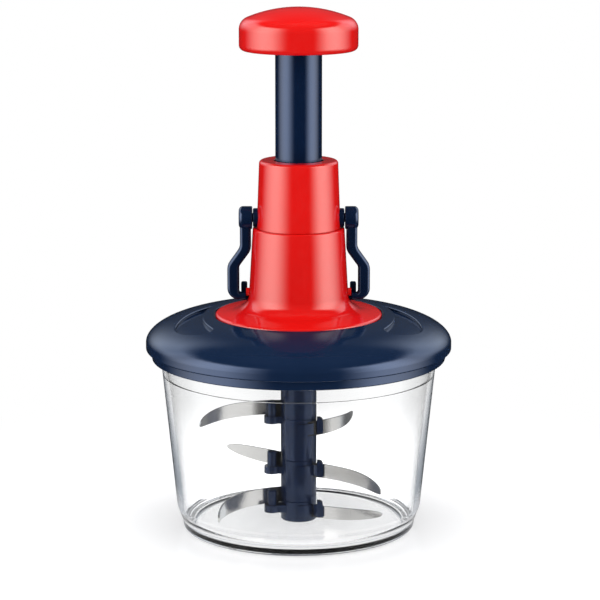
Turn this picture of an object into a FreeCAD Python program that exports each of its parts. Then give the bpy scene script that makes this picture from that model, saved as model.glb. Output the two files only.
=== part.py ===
"""Plunger food chopper: a clear bowl, a domed lid with a red housing, and a sprung plunger that
spins a column of six sickle blades through a steep twisted spindle.

Millimetres.  +Z is up and the origin is the middle of the bowl's foot ring, on the table.
The front faces -Y.  Every sub-part is written to parts/NODE.step.
"""

import FreeCAD
import Part
import math
import os

from collections import namedtuple

from FreeCAD import Vector

# ---------------------------------------------------------------- bowl
BOWL_HEIGHT = 101.2
BOWL_FOOT_RADIUS = 64.8
BOWL_FOOT_BAND = 3.8
BOWL_WALL_FOOT_RADIUS = 68.4
BOWL_WALL_FOOT_HEIGHT = 12.0
BOWL_RIM_RADIUS = 77.2
BOWL_WALL = 3.2
BOWL_FLOOR_TOP = 2.4
BOWL_FLOOR_FILLET = 11.6
BOWL_RIM_WALL = 2.0
BOWL_LEDGE_DROP = 13.7
FOOT_RECESS_DEPTH = 0.5
FOOT_RING_WIDTH = 5.0
BOWL_FOOT_STEP = 0.6
BOWL_FOOT_BEND = 9.0
BOWL_RIM_ROUND = 0.6
FLOOR_BOSS_RADIUS = 4.6
FLOOR_BOSS_HEIGHT = 3.0
PIVOT_RADIUS = 2.0
PIVOT_LENGTH = 12.2
PIVOT_SEAT_DEPTH = 4.0

# ---------------------------------------------------------------- lid
BRIM_OVERHANG = 7.7
BRIM_INSET = 3.3
BRIM_HEIGHT = 3.9
BRIM_EDGE = 0.8
BRIM_GAP = 0.1
SKIRT_DEPTH = 5.4
SKIRT_WALL = 2.4
SKIRT_EDGE = 0.6
DOME_WIDTH = 45.0
LID_RISE = 19.3
LID_WALL = 2.5
RECESS_OVER_FLANGE = 1.1
RECESS_EDGE = 0.5
RECESS_DEPTH = 3.5
UNDERPLATE_THICKNESS = 2.4
UNDERPLATE_HOLE_RADIUS = 9.0
UNDERPLATE_FIT = 0.2
PLUG_CLEARANCE = 1.6
PLUG_WALL = 2.8
PLUG_DEPTH = 4.0
GASKET_GAP = 0.3
GASKET_GROOVE = 0.7
GASKET_LAND = 0.8
GASKET_PLAY = 0.1
GASKET_LIP = 0.5
GASKET_WAIST = 0.2
POCKET_DEPTH = 2.0
POCKET_EDGE = 0.7
DOME_EDGE_BAND = 6.0
UNDERPLATE_SCREWS = 6
UNDERPLATE_SCREW_INSET = 13.6
UNDERPLATE_SCREW_LENGTH = 7.6
SCREW_SINK = 2.0
LID_POST_LIMIT = 0.2
POST_BORE_DEPTH = 6.0

# corners of the finger pockets' outline in the lid, each as (distance out from the
# recess edge, angle in degrees); the sides between them are arcs through the middles
POCKET_TIP = (6.9, 152.4)
POCKET_OUTER_MIDDLE = (15.3, 177.7)
POCKET_SHOULDER = (22.4, 194.9)
POCKET_HEEL_MIDDLE = (24.2, 205.7)
POCKET_HEEL = (20.6, 216.5)
POCKET_ROUND_MIDDLE = (14.9, 219.5)
POCKET_CORNER = (10.7, 215.4)
POCKET_INNER_MIDDLE = (6.5, 187.5)

# ---------------------------------------------------------------- housing
FLANGE_RADIUS = 46.2
FLANGE_RIM = 3.8
FLANGE_WALL = 2.8
FLANGE_SKIN = 2.0
BELL_WALL = 2.4
BELL_FOOT_RADIUS = 27.9
BELL_FOOT_RISE = 7.9
BELL_FILLET = 8.5
BELL_TOP_RADIUS = 25.3
BELL_HEIGHT = 51.8
COLLAR_FOOT_RADIUS = 23.1
COLLAR_TOP_RADIUS = 21.7
COLLAR_HEIGHT = 37.4
COLLAR_WALL = 2.4
COLLAR_TOP_THICKNESS = 2.5
COLLAR_SPIGOT = 4.0
COLLAR_EDGE = 1.8
COLLAR_LAND = 0.6
COLLAR_DRAFT = 0.4
COLLAR_MOUTH_GAP = 0.8
SPIGOT_FIT = 0.1
SPIGOT_END_GAP = 0.4
BUSH_FIT = 0.1
SCREW_END_GAP = 0.2
POST_CROWN = 1.0
SLOT_RISE = 3.0
HOUSING_SCREWS = 4
HOUSING_SCREW_CIRCLE = 32.0
SLEEVE_BORE_RADIUS = 17.2
SLEEVE_WALL = 2.0
BUSH_LENGTH = 5.5
KEY_WIDTH = 3.6
KEY_HEIGHT = 1.8
KEY_FIT = 0.25

# ---------------------------------------------------------------- plunger
TUBE_RADIUS = 12.8
TUBE_WALL = 2.2
TUBE_FIT = 0.08
TUBE_RISE = 11.3
TUBE_WEB_DEPTH = 3.5
TUBE_WEB_THICKNESS = 3.0
PLUNGER_TRAVEL = 67.5
KNOB_RADIUS = 32.5
KNOB_HEIGHT = 23.5
KNOB_DOME_RADIUS = 74.0
KNOB_SHOULDER = 7.0
KNOB_EDGE = 3.0
KNOB_WALL = 3.2
KNOB_CEILING_ROUND = 5.0
KNOB_CEILING_DROP = 4.2
KNOB_SOCKET_WALL = 2.6
KNOB_SOCKET_DEPTH = 3.0
KNOB_SEAT_FIT = 0.05
KNOB_RIB_WIDTH = 2.0
KNOB_RIB_DEPTH = 1.5
KNOB_SCREW_BITE = 9.0
KNOB_CLEARANCE = 60.0
KNOB_RIBS = 8
NUT_FLANGE_RADIUS = 16.6
NUT_FLANGE_THICKNESS = 3.7
NUT_SPIGOT = 8.3
NUT_REST_GAP = 0.3

# ---------------------------------------------------------------- spindle and its drive
SPINDLE_CORNER_RADIUS = 4.95
SPINDLE_LEAD = 50.0
SPINDLE_ENGAGEMENT = 3.8
TWIST_STEP = 10.0
TWIST_FACETS = 3
TWIST_FIT = 0.3
SHOULDER_RADIUS = 6.4
SHOULDER_HEIGHT = 2.4
WASHER_THICKNESS = 0.6
JOURNAL_RADIUS = 4.0
JOURNAL_FIT = 0.05
BEARING_RADIUS = 7.0
BEARING_LENGTH = 4.5
BEARING_FLANGE = 2.0
CLIP_THICKNESS = 0.6
CLIP_GROOVE = 0.6
CLIP_RADIUS = 6.0
CLIP_GAP = 0.1
CLIP_PLAY = 0.05
CLIP_WINDOW_RADIUS = 1.0
CLIP_MOUTH_STEP = 0.4
CUP_FLOOR = 3.5
CUP_WALL = 2.5
CUP_BORE_RADIUS = 16.5
CUP_DEPTH = 10.0
CUP_FLANGE_RADIUS = 40.0
CUP_FLANGE_THICKNESS = 2.3
HEX_FLATS = 10.0
HEX_FIT = 0.2
HEX_LENGTH = 10.3
COUPLING_DISC_RADIUS = 7.5
COUPLING_DISC_THICKNESS = 1.6
COUPLING_GAP = 0.4
COUPLING_NOSE_CHAMFER = 0.4
COUPLING_PIN_RADIUS = 0.7
COUPLING_PIN_INSET = 0.3
COUPLING_PIN_DROP = 0.25
STEM_SETBACK = 1.0
SPRING_WIRE_RADIUS = 0.7
SPRING_MEAN_RADIUS = 13.6
SPRING_TURNS = 8
SPRING_DEAD_TURNS = 1.0
SPRING_DEAD_GAP = 0.07
SPRING_END_GAP = 0.3
SPRING_STEPS_PER_TURN = 20
SPRING_WIRE_SIDES = 6

# ---------------------------------------------------------------- blade column
COLUMN_RADIUS = 10.0
COLUMN_FLOOR_GAP = 0.4
COLUMN_LID_GAP = 0.6
CORE_RADIUS = 5.0
CORE_FLATS = 8.4
CORE_FIT = 0.05
CORE_RISE = 1.9
CORE_END_GAP = 0.1
FOOT_HEIGHT = 11.4
SECTION_HEIGHT = 23.7
CAP_HEIGHT = 12.6
SEAM_CHAMFER = 0.3
FOOT_BUSH_RADIUS = 3.4
FOOT_BUSH_LENGTH = 8.0
FOOT_RECESS_RADIUS = 6.0
FOOT_RECESS_HEIGHT = 3.2

# ---------------------------------------------------------------- blades
BLADE_THICKNESS = 0.9
BLADE_SLOT_FIT = 0.06
BLADE_ROOT_ALLOWANCE = 8.0
GROUND_HEIGHT = 0.8
GROUND_THICKNESS = 0.4
PEG_RADIUS = 2.7
PEG_REACH = 14.9
PEG_HEIGHT = 8.6
LEDGE_RADIUS = 4.4
LEDGE_THICKNESS = 4.0
LEDGE_FRONT = 3.0
PEG_ROUND = 1.0
CLAMP_RISE = 1.0
CLAMP_REACH = 13.6
CLAMP_HEIGHT = 8.8
CLAMP_PLATE = 3.4
CLAMP_WALL = 2.0
CLAMP_CORNER = 2.2
CLAMP_WRAP_BULGE = 1.3
CLAMP_WRAP_HEIGHT = 6.2
CLAMP_WRAP_START = 267.0
CLAMP_WRAP_END = 318.0
CLAMP_LINK_SETBACK = 1.5
CLAMP_LINK_OVERLAP = 0.5
CLAMP_LINK_ANGLE = 314.0

# seam: number from the foot; rise: the lower edge's height above that seam; root and middle:
# (x, y); tip_angle in degrees; tip_gap: from the bowl's wall; back and edge: how far the
# upper and the lower edge curve in at the tip, and the share of the length where they start
Blade = namedtuple("Blade", "name seam rise height root middle tip_angle tip_gap "
                            "back back_start edge edge_start")
BLADES = [
    Blade("blade_upper_left", 3, 0.7, 8.0, (-6.5, 2.5), (-36.5, -5.8), 210.5, 7.8,
          5.8, 0.45, 1.4, 0.80),
    Blade("blade_upper_right", 3, -9.3, 8.2, (3.0, -8.8), (19.0, 1.0), 39.5, 29.0,
          2.4, 0.30, 5.0, 0.05),
    Blade("blade_middle_left", 2, -4.1, 8.1, (-6.0, -5.5), (-27.0, 11.0), 147.5, 17.8,
          4.4, 0.20, 3.2, 0.30),
    Blade("blade_middle_right", 2, -9.6, 8.1, (4.5, -4.5), (27.0, -18.8), -46.2, 2.8,
          5.8, 0.45, 1.4, 0.80),
    Blade("blade_lower_left", 1, -2.4, 8.9, (-7.0, 1.0), (-31.2, -12.7), 226.7, 2.8,
          6.0, 0.50, 1.2, 0.80),
    Blade("blade_lower_right", 1, -8.8, 7.0, (4.5, -5.5), (24.0, -13.5), -16.0, 15.2,
          3.6, 0.30, 2.8, 0.40),
]

# ---------------------------------------------------------------- locking arms
ARM_PIVOT_ABOVE_SEAM = 5.4
ARM_BOSS_RADIUS = 6.3
ARM_BOSS_INNER = 25.6
ARM_BOSS_WIDTH = 7.4
ARM_BOSS_EDGE = 2.4
ARM_HALF_DEPTH = 3.4
ARM_EDGE = 1.8
ARM_UPPER_INNER = 26.3
ARM_UPPER_WIDTH = 6.1
ARM_KNOB_GAP = 0.35
ARM_LOWER_WIDTH = 6.6
ARM_JOG_INNER = (18.0, 27.0)
ARM_JOG_OUTER = (16.7, 26.6)
ARM_JOG_ROUND = 7.0
ARM_HEEL_ROUND = 6.5
ARM_HOOK_ROUND = 1.2
ARM_FOOT_DROP = 45.8
ARM_FOOT_FLAT = 0.1
ARM_GRIP = 3.1
ARM_CATCH_GAP = 0.3
ARM_PIN_RADIUS = 2.5
ARM_PIN_FIT = 0.06
ARM_PIN_FLANGE_RADIUS = 5.2
ARM_PIN_FLANGE_EDGE = 0.8
ARM_PIN_END_GAP = 0.3
ARM_BOSS_CAP = 1.6
ARM_SIDE_GAP = 0.4
LUG_RADIUS = 2.25
LUG_DROP = 41.7
LUG_GAP = 0.3
STOP_NEAR = 4.3
STOP_WIDTH = 3.4
STOP_ROOT = 24.0
STOP_REACH = 32.0
STOP_POST = 3.4
STOP_RISE = 5.3
STOP_DROP = 47.3
STOP_BASE = 5.0
STOP_ROUND = 1.2
STOP_SINK = 0.8

# ---------------------------------------------------------------- screws
SCREW_RADIUS = 1.5
SCREW_HEAD_RADIUS = 3.0
SCREW_HEAD_HEIGHT = 2.2
SCREW_HEAD_FIT = 0.1
SCREW_SLOT_WIDTH = 0.8
SCREW_SLOT_DEPTH = 1.0
SCREW_SLOT_SHARE = 0.6
HOUSING_SCREW_BITE = 3.4
SCREW_BOSS_RADIUS = 4.0
KNOB_SCREW_RADIUS = 1.9
KNOB_SCREW_HEAD_RADIUS = 3.8

# ---------------------------------------------------------------- derived radii
BRIM_RADIUS = BOWL_RIM_RADIUS + BRIM_OVERHANG
SKIRT_RADIUS = BRIM_RADIUS - BRIM_INSET
SKIRT_BORE = SKIRT_RADIUS - SKIRT_WALL
RECESS_RADIUS = FLANGE_RADIUS + RECESS_OVER_FLANGE
PLUG_RADIUS = BOWL_RIM_RADIUS - BOWL_RIM_WALL - PLUG_CLEARANCE
GROOVE_RADIUS = PLUG_RADIUS - GASKET_GROOVE
UNDERPLATE_SCREW_CIRCLE = PLUG_RADIUS - UNDERPLATE_SCREW_INSET
ARM_LOWER_INNER = KNOB_RADIUS + ARM_KNOB_GAP
ARM_FOOT_END = KNOB_RADIUS - ARM_GRIP

# ---------------------------------------------------------------- derived heights
LID_SEAT = BOWL_HEIGHT
UNDERPLATE_TOP = LID_SEAT + UNDERPLATE_THICKNESS
UNDERPLATE_SCREW_BOTTOM = UNDERPLATE_TOP - SCREW_SINK
LID_TOP = LID_SEAT + LID_RISE
DOME_FOOT = LID_SEAT - BRIM_GAP + BRIM_HEIGHT
HOUSING_SEAT = LID_TOP - RECESS_DEPTH
LID_FLOOR = HOUSING_SEAT - LID_WALL
SEAM = HOUSING_SEAT + BELL_HEIGHT
COLLAR_TOP = SEAM + COLLAR_HEIGHT
BUSH_TOP = COLLAR_TOP - COLLAR_TOP_THICKNESS
BUSH_BOTTOM = BUSH_TOP - BUSH_LENGTH
NUT_TOP = BUSH_BOTTOM - NUT_REST_GAP
NUT_BOTTOM = NUT_TOP - NUT_FLANGE_THICKNESS
KNOB_BOTTOM = COLLAR_TOP + KNOB_CLEARANCE
KNOB_TOP = KNOB_BOTTOM + KNOB_HEIGHT
CUP_BOTTOM = LID_FLOOR - CUP_DEPTH
CUP_FLOOR_TOP = CUP_BOTTOM + CUP_FLOOR
BEARING_TOP = CUP_BOTTOM + BEARING_LENGTH
SHOULDER_BOTTOM = BEARING_TOP + WASHER_THICKNESS
TWIST_BOTTOM = SHOULDER_BOTTOM + SHOULDER_HEIGHT
SPINDLE_TOP = NUT_BOTTOM + SPINDLE_ENGAGEMENT
CLIP_TOP = CUP_BOTTOM - CLIP_GAP
CLIP_BOTTOM = CLIP_TOP - CLIP_THICKNESS
COUPLING_TOP = CLIP_BOTTOM - COUPLING_GAP
HEX_TOP = COUPLING_TOP - COUPLING_DISC_THICKNESS
HEX_BOTTOM = HEX_TOP - HEX_LENGTH
COLUMN_BOTTOM = BOWL_FLOOR_TOP + COLUMN_FLOOR_GAP
COLUMN_TOP = LID_SEAT - COLUMN_LID_GAP
CAP_BOTTOM = COLUMN_TOP - CAP_HEIGHT
ARM_PIVOT = SEAM + ARM_PIVOT_ABOVE_SEAM
TUBE_TOP = KNOB_BOTTOM + TUBE_RISE
TUBE_WEB_TOP = TUBE_TOP - TUBE_WEB_DEPTH
TUBE_WEB_BOTTOM = TUBE_WEB_TOP - TUBE_WEB_THICKNESS
TUBE_BORE = TUBE_RADIUS - TUBE_WALL


# ---------------------------------------------------------------- shared shapes
def rounded_path(corners, place, closed):
    """Wire through (u, v, radius) corners, each rounded by an arc of its radius."""
    count = len(corners)
    starts = []
    ends = []
    arcs = []
    for i, (u, v, radius) in enumerate(corners):
        point = Vector(u, v, 0)
        inside = closed or 0 < i < count - 1
        if radius <= 0 or not inside:
            starts.append(point)
            ends.append(point)
            arcs.append(None)
            continue
        before = corners[i - 1]
        after = corners[(i + 1) % count]
        back = (Vector(before[0], before[1], 0) - point).normalize()
        ahead = (Vector(after[0], after[1], 0) - point).normalize()
        half = back.getAngle(ahead) / 2
        reach = radius / math.tan(half)
        middle = (back + ahead).normalize()
        starts.append(point + back * reach)
        ends.append(point + ahead * reach)
        arcs.append(point + middle * (radius / math.sin(half) - radius))
    edges = []
    for i in range(count):
        if arcs[i] is not None:
            arc = Part.Arc(place(starts[i]), place(arcs[i]), place(ends[i]))
            edges.append(arc.toShape())
        last = i == count - 1
        if last and not closed:
            continue
        a = place(ends[i])
        b = place(starts[(i + 1) % count])
        if a.distanceToPoint(b) > 1e-6:
            edges.append(Part.makeLine(a, b))
    return Part.Wire(edges)


def revolved(corners):
    """Solid of revolution about Z from (radius, height, rounding) corners."""
    wire = rounded_path(corners, lambda p: Vector(p.x, 0, p.y), True)
    return Part.Face(wire).revolve(Vector(0, 0, 0), Vector(0, 0, 1), 360)


def cylinder(radius, bottom, top, x=0.0, y=0.0):
    return Part.makeCylinder(radius, top - bottom, Vector(x, y, bottom))


def ring(inner, outer, bottom, top, chamfer=0.0):
    body = cylinder(outer, bottom, top)
    if chamfer > 0:
        body = body.makeChamfer(chamfer, circle_edges(body))
    return body.cut(cylinder(inner, bottom - 1, top + 1))


def polar(radius, degrees, z=0.0):
    angle = math.radians(degrees)
    return Vector(radius * math.cos(angle), radius * math.sin(angle), z)


def around(count, radius, first=0.0):
    return [polar(radius, first + 360.0 * i / count) for i in range(count)]


def circle_edges(body, height=None):
    """The body's circular edges, or only those whose centre lies at a height."""
    found = []
    for edge in body.Edges:
        if edge.Degenerated or not isinstance(edge.Curve, Part.Circle):
            continue
        if height is None or abs(edge.Curve.Center.z - height) < 0.01:
            found.append(edge)
    return found


def hexagon(flats, bottom, top):
    corners = [polar(flats / math.sqrt(3), 30 + 60 * i, bottom) for i in range(6)]
    face = Part.Face(Part.makePolygon(corners + corners[:1]))
    return face.extrude(Vector(0, 0, top - bottom))


def box(x0, x1, y0, y1, z0, z1):
    return Part.makeBox(x1 - x0, y1 - y0, z1 - z0, Vector(x0, y0, z0))


def skinned(rings, closed_ends):
    """Solid with flat facets between rings of equally many points."""
    faces = []
    for low, high in zip(rings[:-1], rings[1:]):
        sides = len(low)
        for i in range(sides):
            j = (i + 1) % sides
            faces.append(Part.Face(Part.makePolygon([low[i], low[j], high[j], low[i]])))
            faces.append(Part.Face(Part.makePolygon([low[i], high[j], high[i], low[i]])))
    for end in closed_ends:
        faces.append(Part.Face(Part.makePolygon(end + end[:1])))
    return Part.makeSolid(Part.makeShell(faces))


def twisted_bar(corner_radius, bottom, top):
    """Square bar twisted to the spindle's lead; its angle depends on the height alone."""
    step = SPINDLE_LEAD * TWIST_STEP / 360.0
    heights = [bottom]
    level = math.floor(bottom / step) + 1
    while level * step < top - 1e-6:
        heights.append(level * step)
        level += 1
    heights.append(top)
    rings = []
    for z in heights:
        turn = 360.0 * z / SPINDLE_LEAD
        corners = [polar(corner_radius, turn + 90.0 * i, z) for i in range(5)]
        loop = []
        for a, b in zip(corners[:-1], corners[1:]):
            loop += [a + (b - a) * (i / TWIST_FACETS) for i in range(TWIST_FACETS)]
        rings.append(loop)
    return skinned(rings, [rings[0], rings[-1]])


# ---------------------------------------------------------------- bowl
def wall_radius(z):
    """Outer radius of the bowl's straight wall at a height."""
    rise = (BOWL_RIM_RADIUS - BOWL_WALL_FOOT_RADIUS) / (BOWL_HEIGHT - BOWL_WALL_FOOT_HEIGHT)
    return BOWL_WALL_FOOT_RADIUS + rise * (z - BOWL_WALL_FOOT_HEIGHT)


def inner_radius(z):
    return wall_radius(z) - BOWL_WALL


def bowl():
    ledge = BOWL_HEIGHT - BOWL_LEDGE_DROP
    boss_top = BOWL_FLOOR_TOP + FLOOR_BOSS_HEIGHT
    seat = boss_top - PIVOT_SEAT_DEPTH
    foot_inner = BOWL_FOOT_RADIUS - FOOT_RING_WIDTH
    return revolved([
        (0, FOOT_RECESS_DEPTH, 0),
        (foot_inner - FOOT_RECESS_DEPTH, FOOT_RECESS_DEPTH, 0.5),
        (foot_inner, 0, 0.3),
        (BOWL_FOOT_RADIUS, 0, 1.0),
        (BOWL_FOOT_RADIUS + BOWL_FOOT_STEP, BOWL_FOOT_BAND, 0.4),
        (BOWL_WALL_FOOT_RADIUS, BOWL_WALL_FOOT_HEIGHT, BOWL_FOOT_BEND),
        (BOWL_RIM_RADIUS, BOWL_HEIGHT, BOWL_RIM_ROUND),
        (BOWL_RIM_RADIUS - BOWL_RIM_WALL, BOWL_HEIGHT, BOWL_RIM_ROUND),
        (wall_radius(ledge) - BOWL_RIM_WALL, ledge, 0.3),
        (inner_radius(ledge), ledge, 0.5),
        (inner_radius(BOWL_FLOOR_TOP), BOWL_FLOOR_TOP, BOWL_FLOOR_FILLET),
        (FLOOR_BOSS_RADIUS, BOWL_FLOOR_TOP, 0.6),
        (FLOOR_BOSS_RADIUS, boss_top, 0.8),
        (PIVOT_RADIUS, boss_top, 0),
        (PIVOT_RADIUS, seat, 0),
        (0, seat, 0),
    ])


def bowl_pivot_pin():
    bottom = BOWL_FLOOR_TOP + FLOOR_BOSS_HEIGHT - PIVOT_SEAT_DEPTH
    top = bottom + PIVOT_LENGTH
    return revolved([
        (0, bottom, 0),
        (PIVOT_RADIUS, bottom, 0),
        (PIVOT_RADIUS, top, 0.7),
        (0, top, 0),
    ])


# ---------------------------------------------------------------- lid
def dome_arc(drop, inner_edge):
    """Elliptical curve of the lid's skin from the brim inwards, lowered by a drop."""
    width = DOME_WIDTH - drop
    height = LID_TOP - DOME_FOOT - drop
    centre = Vector(BRIM_RADIUS - DOME_WIDTH, 0, DOME_FOOT)
    ellipse = Part.Ellipse(centre + Vector(width, 0, 0), centre + Vector(0, 0, height), centre)
    end = math.acos((inner_edge - centre.x) / width)
    return Part.ArcOfEllipse(ellipse, 0, end).toShape()


def joined(pieces):
    """Face from edges and (radius, height) points in order, closed by straight lines."""
    ends = []
    edges = []
    for piece in pieces:
        if isinstance(piece, tuple):
            point = Vector(piece[0], 0, piece[1])
            ends.append((point, point))
            edges.append(None)
        else:
            first = piece.valueAt(piece.FirstParameter)
            last = piece.valueAt(piece.LastParameter)
            flipped = piece.Orientation == "Reversed"
            ends.append((last, first) if flipped else (first, last))
            edges.append(piece)
    outline = []
    for i, edge in enumerate(edges):
        if edge is not None:
            outline.append(edge)
        leave = ends[i][1]
        reach = ends[(i + 1) % len(ends)][0]
        if leave.distanceToPoint(reach) > 1e-6:
            outline.append(Part.makeLine(leave, reach))
    return Part.Face(Part.Wire(outline))


def turned(face):
    return face.revolve(Vector(0, 0, 0), Vector(0, 0, 1), 360)


def lid_dome(drop):
    """Everything below the lid's upper skin, lowered by a drop."""
    skin = dome_arc(drop, RECESS_RADIUS)
    crown = skin.valueAt(skin.LastParameter).z
    return turned(joined([(0, LID_SEAT), (BRIM_RADIUS - drop, LID_SEAT), skin, (0, crown)]))


def finger_pocket(grow):
    """Plan outline of the left-hand finger pocket, grown outwards by a margin."""
    def corner(spot, outwards, along=0.0):
        radius = RECESS_RADIUS + spot[0] + outwards
        return polar(radius, spot[1] + math.degrees(along / radius))

    tip = corner(POCKET_TIP, 0, -grow)
    shoulder = corner(POCKET_SHOULDER, grow)
    heel = corner(POCKET_HEEL, grow, grow)
    inside = corner(POCKET_CORNER, -grow, grow)
    return Part.Face(Part.Wire([
        Part.Arc(tip, corner(POCKET_OUTER_MIDDLE, grow), shoulder).toShape(),
        Part.Arc(shoulder, corner(POCKET_HEEL_MIDDLE, grow), heel).toShape(),
        Part.Arc(heel, corner(POCKET_ROUND_MIDDLE, 0, grow), inside).toShape(),
        Part.Arc(inside, corner(POCKET_INNER_MIDDLE, -grow), tip).toShape(),
    ]))


def raised(face, bottom, top):
    """Prism over a level face, from one height to another."""
    prism = face.extrude(Vector(0, 0, top - bottom))
    prism.translate(Vector(0, 0, bottom - face.BoundBox.ZMin))
    return prism


def both_sides(body, add, cut):
    """The body with one piece added and one cut away on the left and on the right."""
    for mirrored in (False, True):
        if mirrored:
            add = add.mirror(Vector(0, 0, 0), Vector(1, 0, 0))
            cut = cut.mirror(Vector(0, 0, 0), Vector(1, 0, 0))
        body = body.fuse(add).cut(cut)
    return body


def skin_height(radius):
    """Height of the lid's upper skin at a radius."""
    across = (radius - BRIM_RADIUS + DOME_WIDTH) / DOME_WIDTH
    return DOME_FOOT + (LID_TOP - DOME_FOOT) * math.sqrt(1 - across ** 2)


def pocket_rims(shell):
    """The edges where the finger pockets break through the lid's skin."""
    inner = RECESS_RADIUS + POCKET_INNER_MIDDLE[0] / 2
    found = []
    for edge in shell.Edges:
        middle = edge.valueAt((edge.FirstParameter + edge.LastParameter) / 2)
        radius = math.hypot(middle.x, middle.y)
        if inner < radius < SKIRT_RADIUS - DOME_EDGE_BAND:
            if abs(middle.z - skin_height(radius)) < 0.01:
                found.append(edge)
    return found


def lid_shell():
    """Dome with a brim and a skirt, hollow below, with two finger pockets in its top."""
    skirt_bottom = LID_SEAT - SKIRT_DEPTH
    brim = LID_SEAT - BRIM_GAP
    sides = rounded_path([
        (SLEEVE_BORE_RADIUS, skirt_bottom, 0),
        (SKIRT_RADIUS, skirt_bottom, SKIRT_EDGE),
        (SKIRT_RADIUS, brim, SKIRT_EDGE / 2),
        (BRIM_RADIUS, brim, BRIM_EDGE),
        (BRIM_RADIUS, DOME_FOOT, 0),
    ], lambda p: Vector(p.x, 0, p.y), False)
    outside = turned(joined(sides.Edges + [
        dome_arc(0, RECESS_RADIUS + RECESS_EDGE),
        (RECESS_RADIUS, LID_TOP - RECESS_EDGE),
        (RECESS_RADIUS, HOUSING_SEAT),
        (SLEEVE_BORE_RADIUS, HOUSING_SEAT),
    ]))
    recess_wall = RECESS_RADIUS + LID_WALL
    hollow = turned(joined([
        (0, skirt_bottom - 1),
        (BRIM_RADIUS - LID_WALL, skirt_bottom - 1),
        dome_arc(LID_WALL, recess_wall),
        (recess_wall, LID_FLOOR),
        (0, LID_FLOOR),
    ]))
    shell = outside.cut(hollow.common(cylinder(SKIRT_BORE, skirt_bottom - 1, LID_TOP)))
    pad = raised(finger_pocket(LID_WALL), LID_FLOOR - LID_WALL, LID_TOP)
    pad = pad.common(lid_dome(LID_WALL / 2)).cut(lid_dome(POCKET_DEPTH + LID_WALL))
    pocket = raised(finger_pocket(0), LID_SEAT, LID_TOP + 1).cut(lid_dome(POCKET_DEPTH))
    shell = both_sides(shell, pad, pocket)
    shell = shell.makeFillet(POCKET_EDGE, pocket_rims(shell))
    post_bottom = UNDERPLATE_TOP + SCREW_HEAD_HEIGHT
    post_limit = lid_dome(POCKET_DEPTH + LID_POST_LIMIT)
    bore_top = post_bottom + POST_BORE_DEPTH
    for spot in around(UNDERPLATE_SCREWS, UNDERPLATE_SCREW_CIRCLE, 90):
        post = cylinder(SCREW_BOSS_RADIUS, post_bottom, LID_TOP, spot.x, spot.y)
        shell = shell.fuse(post.common(post_limit))
        shell = shell.cut(cylinder(SCREW_RADIUS, post_bottom, bore_top, spot.x, spot.y))
    for spot in around(HOUSING_SCREWS, HOUSING_SCREW_CIRCLE, 45):
        shell = shell.cut(cylinder(SCREW_RADIUS, LID_FLOOR - 1, HOUSING_SEAT + 1, spot.x, spot.y))
    return shell.removeSplitter()


def lid_underplate():
    """Plate that closes the lid from below, with the plug that enters the bowl."""
    outer = SKIRT_BORE - UNDERPLATE_FIT
    plug_bottom = LID_SEAT - PLUG_DEPTH
    plate = revolved([
        (UNDERPLATE_HOLE_RADIUS, LID_SEAT, 0.3),
        (UNDERPLATE_HOLE_RADIUS, UNDERPLATE_TOP, 0),
        (outer, UNDERPLATE_TOP, 0.3),
        (outer, LID_SEAT, 0),
        (PLUG_RADIUS, LID_SEAT, 0),
        (PLUG_RADIUS, LID_SEAT - GASKET_LAND, 0),
        (GROOVE_RADIUS, LID_SEAT - GASKET_LAND, 0),
        (GROOVE_RADIUS, plug_bottom + GASKET_LAND, 0),
        (PLUG_RADIUS, plug_bottom + GASKET_LAND, 0),
        (PLUG_RADIUS, plug_bottom, 0.3),
        (PLUG_RADIUS - PLUG_WALL, plug_bottom, 0.5),
        (PLUG_RADIUS - PLUG_WALL, LID_SEAT, 0.8),
    ])
    boss_top = UNDERPLATE_TOP + SCREW_HEAD_HEIGHT
    head_top = UNDERPLATE_SCREW_BOTTOM + SCREW_HEAD_HEIGHT
    for spot in around(UNDERPLATE_SCREWS, UNDERPLATE_SCREW_CIRCLE, 90):
        plate = plate.fuse(cylinder(SCREW_BOSS_RADIUS, LID_SEAT + 1, boss_top, spot.x, spot.y))
        plate = plate.cut(cylinder(SCREW_RADIUS, LID_SEAT, boss_top + 1, spot.x, spot.y))
        plate = plate.cut(cylinder(SCREW_HEAD_RADIUS, LID_SEAT - 1, head_top, spot.x, spot.y))
    return plate


def lid_gasket():
    """Two-lipped seal in the plug's groove."""
    bottom = LID_SEAT - PLUG_DEPTH + GASKET_LAND + GASKET_PLAY
    top = LID_SEAT - GASKET_LAND - GASKET_PLAY
    reach = wall_radius(bottom) - BOWL_RIM_WALL - GASKET_GAP
    return revolved([
        (GROOVE_RADIUS, bottom, 0),
        (PLUG_RADIUS + GASKET_PLAY, bottom, 0),
        (reach, bottom + GASKET_LIP, 0.2),
        (PLUG_RADIUS + GASKET_WAIST, (bottom + top) / 2, 0.2),
        (reach, top - GASKET_LIP, 0.2),
        (PLUG_RADIUS + GASKET_PLAY, top, 0),
        (GROOVE_RADIUS, top, 0),
    ])


def screw(x, y, head_bottom, length, radius, head_radius):
    """Pan-head screw driven upwards, with a cross slot in its head."""
    head_top = head_bottom + SCREW_HEAD_HEIGHT
    body = cylinder(head_radius, head_bottom, head_top, x, y)
    body = body.fuse(cylinder(radius, head_top, head_top + length, x, y))
    reach = head_radius * SCREW_SLOT_SHARE
    half = SCREW_SLOT_WIDTH / 2
    top = head_bottom + SCREW_SLOT_DEPTH
    body = body.cut(box(x - reach, x + reach, y - half, y + half, head_bottom - 1, top))
    return body.cut(box(x - half, x + half, y - reach, y + reach, head_bottom - 1, top))


def screw_group(spots, bottom, length):
    radius = SCREW_HEAD_RADIUS - SCREW_HEAD_FIT
    return Part.makeCompound([screw(s.x, s.y, bottom, length, SCREW_RADIUS, radius) for s in spots])


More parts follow.
